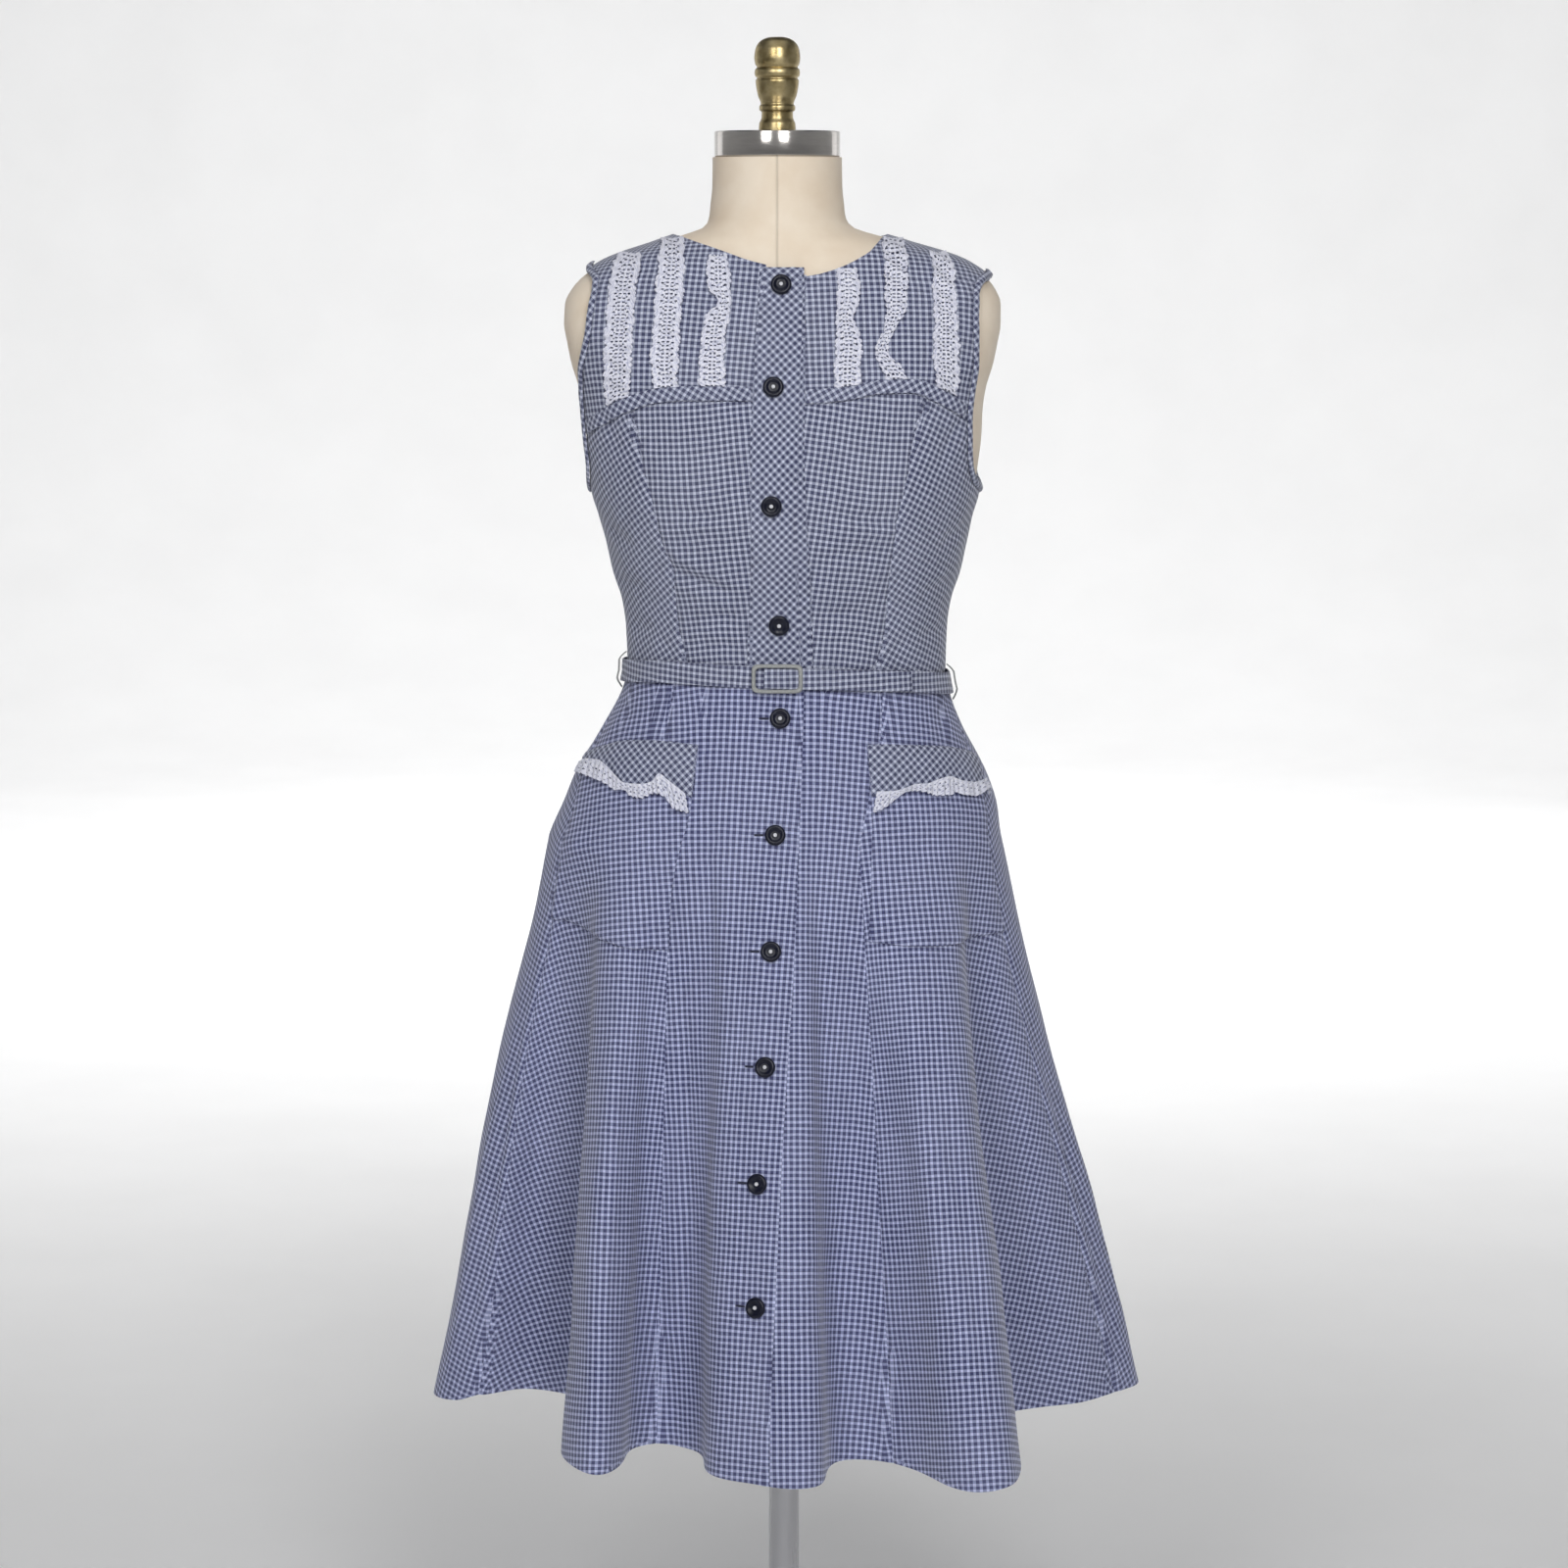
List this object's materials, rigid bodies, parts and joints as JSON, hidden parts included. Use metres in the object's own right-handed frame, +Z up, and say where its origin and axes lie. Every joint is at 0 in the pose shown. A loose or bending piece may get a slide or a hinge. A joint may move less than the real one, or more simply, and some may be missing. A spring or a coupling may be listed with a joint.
{
  "type": "day dress on dress form",
  "caption": "Sleeveless checked day dress, buttoned and belted, with lace trim, patch pockets and a flared skirt, on a limbless dress form with a round-base stand.",
  "frame": {"origin": "middle of the stand base's underside, on the floor", "axes": "+Z up; the dress's front faces -Y; the wearer's left is +X"},
  "size_m": [0.656, 0.5368, 1.6125],
  "materials": {
    "checked_cotton": "matt navy and white checked cotton",
    "checked_cotton_bias": "the same checked cotton cut on the bias",
    "cotton_lace": "white openwork cotton lace",
    "navy_button": "polished navy, nearly black",
    "form_linen": "cream linen",
    "cap_steel": "polished steel",
    "finial_brass": "aged brass, turned",
    "pole_steel": "satin steel tube",
    "base_paint": "satin stone-grey paint"
  },
  "bodies": {
    "root": {"dress_form": "form_linen", "neck_cap": "cap_steel", "finial": "finial_brass", "stand_pole": "pole_steel", "stand_base": "base_paint", "yoke_right": "checked_cotton", "yoke_left": "checked_cotton", "yoke_band_right": "checked_cotton_bias", "yoke_band_left": "checked_cotton_bias", "bodice_front_right": "checked_cotton", "bodice_front_left": "checked_cotton", "bodice_side_right": "checked_cotton", "bodice_side_left": "checked_cotton", "bodice_back_right": "checked_cotton", "bodice_back_left": "checked_cotton", "armhole_binding_right": "checked_cotton_bias", "armhole_binding_left": "checked_cotton_bias", "front_band": "checked_cotton_bias", "under_band": "checked_cotton_bias", "yoke_lace_right_outer": "cotton_lace", "yoke_lace_right_middle": "cotton_lace", "yoke_lace_right_inner": "cotton_lace", "yoke_lace_left_inner": "cotton_lace", "yoke_lace_left_middle": "cotton_lace", "yoke_lace_left_outer": "cotton_lace", "skirt_front_right": "checked_cotton", "skirt_front_left": "checked_cotton", "skirt_side_right": "checked_cotton", "skirt_side_left": "checked_cotton", "skirt_back_right": "checked_cotton", "skirt_back_left": "checked_cotton", "pocket_right": "checked_cotton", "pocket_left": "checked_cotton", "pocket_cuff_right": "checked_cotton_bias", "pocket_cuff_left": "checked_cotton_bias", "pocket_lace_right": "cotton_lace", "pocket_lace_left": "cotton_lace", "belt": "checked_cotton", "belt_end": "checked_cotton", "belt_buckle": "checked_cotton", "belt_loop_right": "checked_cotton", "belt_loop_left": "checked_cotton", "button_01": "navy_button", "button_02": "navy_button", "button_03": "navy_button", "button_04": "navy_button", "button_05": "navy_button", "button_06": "navy_button", "button_07": "navy_button", "button_08": "navy_button", "button_09": "navy_button", "button_10": "navy_button"}
  },
  "joints": []
}
